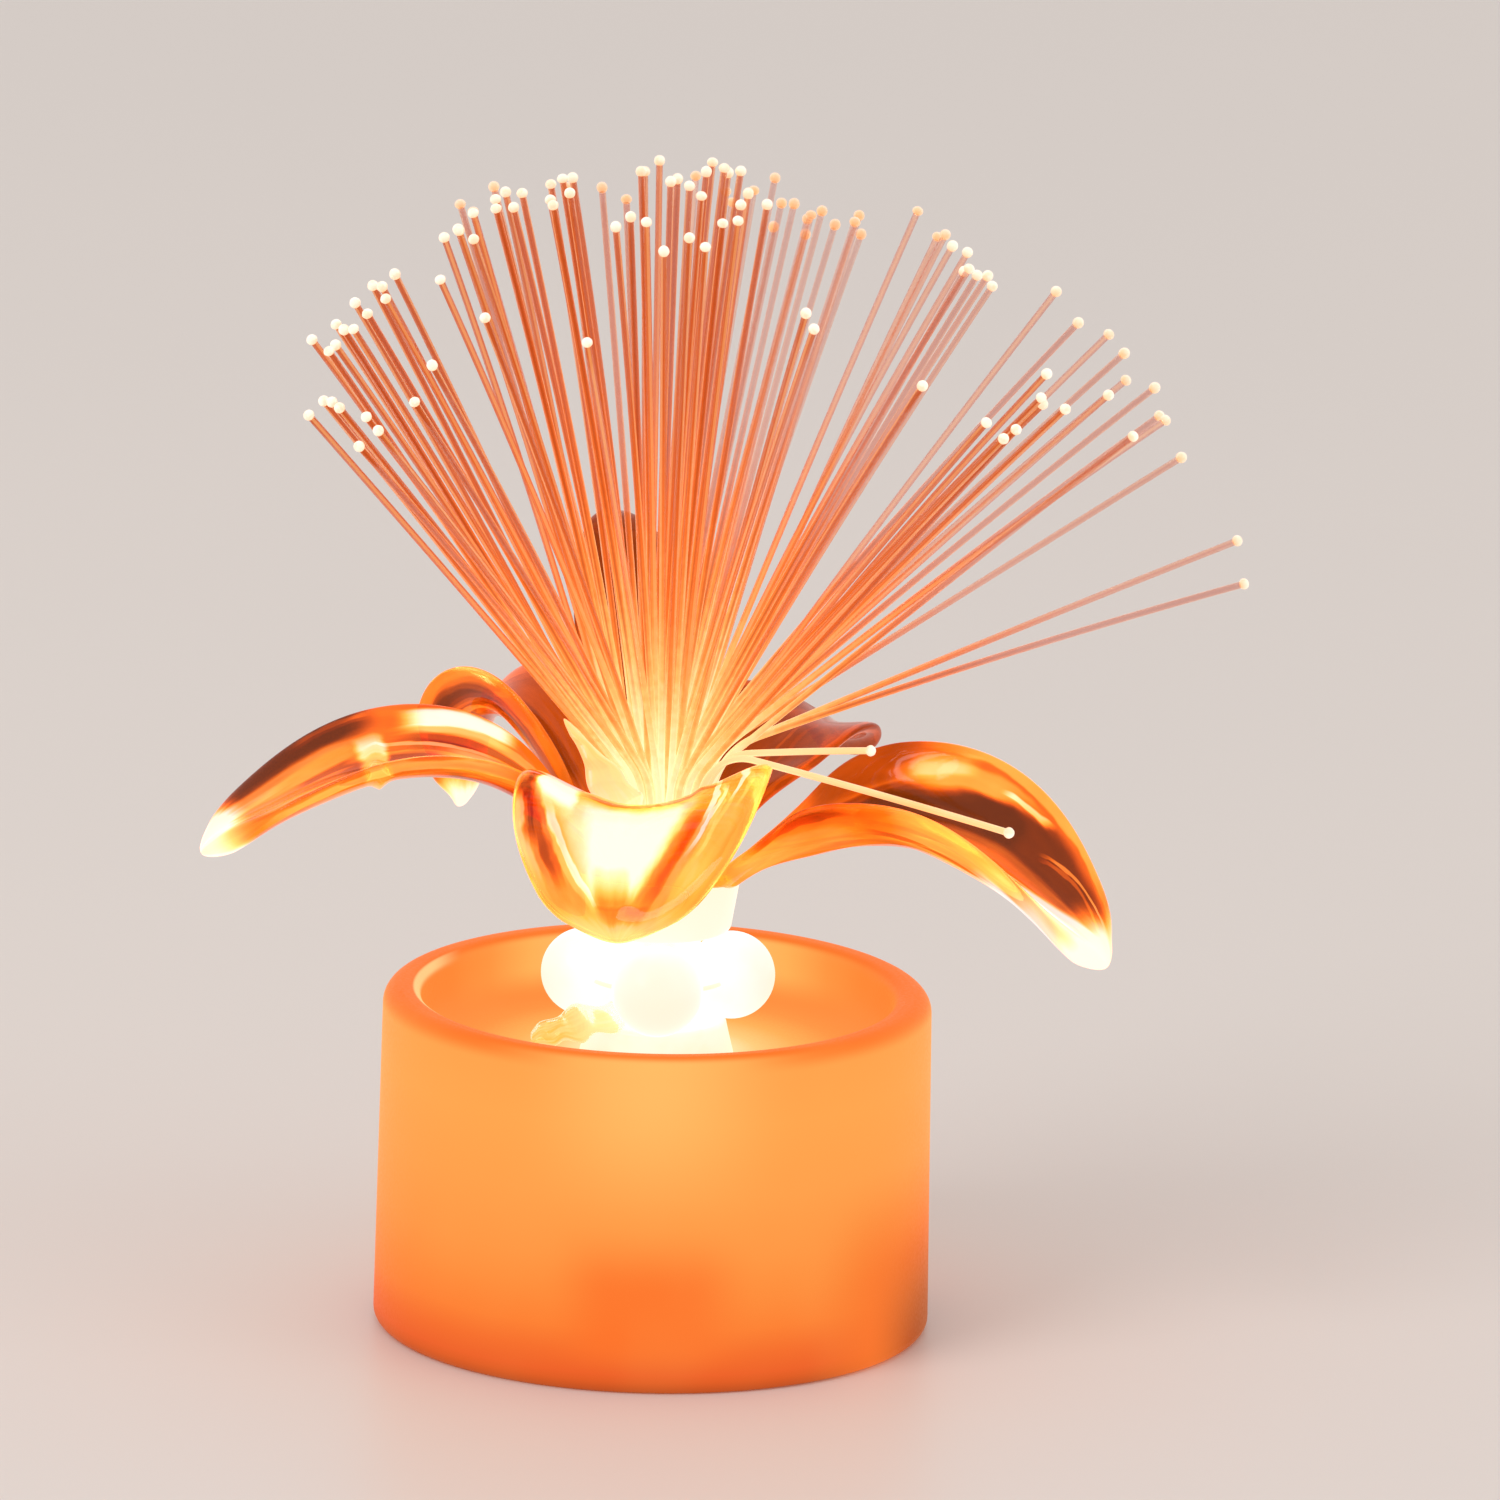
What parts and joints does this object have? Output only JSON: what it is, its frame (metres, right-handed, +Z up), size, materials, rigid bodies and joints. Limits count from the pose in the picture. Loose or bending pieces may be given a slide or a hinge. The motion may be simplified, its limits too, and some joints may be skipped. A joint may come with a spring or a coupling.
{
  "type": "fibre optic flower lamp",
  "caption": "Small table lamp: frosted round base lit from inside, a short stem of frosted beads, clear curled petals and a spray of light fibres with glowing tips.",
  "frame": {"origin": "on the surface the lamp stands on, under the middle of its stem", "axes": "+Z up; -Y is the front, +X is the right-hand side seen from the front"},
  "size_m": [0.1136, 0.0801, 0.1309],
  "materials": {
    "frosted_base": "frosted, lit from inside",
    "cover_plastic": "satin",
    "cell_steel": "satin",
    "contact_metal": "plain",
    "board_green": "solder mask",
    "resistor_body": "lacquered",
    "led_lens": "clear, lit",
    "knob_black": "moulded",
    "wire_red": "smooth insulation",
    "wire_black": "smooth insulation",
    "frosted_stem": "frosted, lit",
    "frosted_bead": "frosted, lit",
    "clear_stem": "clear",
    "clear_amber": "clear, polished edges",
    "fibre": "clear strands with melted tips"
  },
  "bodies": {
    "lamp": {"base_shell": "frosted_base", "bead_back": "frosted_bead", "bead_front": "frosted_bead", "bead_left": "frosted_bead", "bead_right": "frosted_bead", "bead_wire": "contact_metal", "board_screws": "contact_metal", "bottom_cover": "cover_plastic", "circuit_board": "board_green", "coin_cell": "cell_steel", "contact_negative": "contact_metal", "contact_positive": "contact_metal", "ferrule": "clear_stem", "fibres_back_left": "fibre", "fibres_back_right": "fibre", "fibres_centre": "fibre", "fibres_front": "fibre", "fibres_front_left": "fibre", "fibres_front_right": "fibre", "fibres_left": "fibre", "fibres_right": "fibre", "fibres_stray": "fibre", "fibres_upper_left": "fibre", "fibres_upper_right": "fibre", "foot_retainer": "contact_metal", "led": "led_lens", "led_leads": "contact_metal", "light_pipe": "clear_stem", "petal_back": "clear_amber", "petal_back_left": "clear_amber", "petal_back_right": "clear_amber", "petal_front": "clear_amber", "petal_left": "clear_amber", "petal_right": "clear_amber", "resistor": "resistor_body", "small_leaf": "clear_amber", "stem_collar": "frosted_stem", "stem_foot": "frosted_stem", "stem_tube": "clear_stem", "switch_body": "contact_metal", "switch_terminals": "contact_metal", "switch_wire_front": "wire_red", "switch_wire_middle": "wire_black"},
    "battery_cap": {"battery_cap": "cover_plastic"},
    "switch_knob": {"switch_knob": "knob_black"}
  },
  "joints": [
    {"name": "battery_cap_turn", "type": "hinge", "parent": "lamp", "child": "battery_cap", "pos_m": [0, 0, 0.002], "axis": [0, 0, 1], "range_deg": [0, 40]},
    {"name": "switch_slide", "type": "slide", "parent": "lamp", "child": "switch_knob", "axis": [0, 1, 0], "range_m": [0, 0.002]}
  ]
}
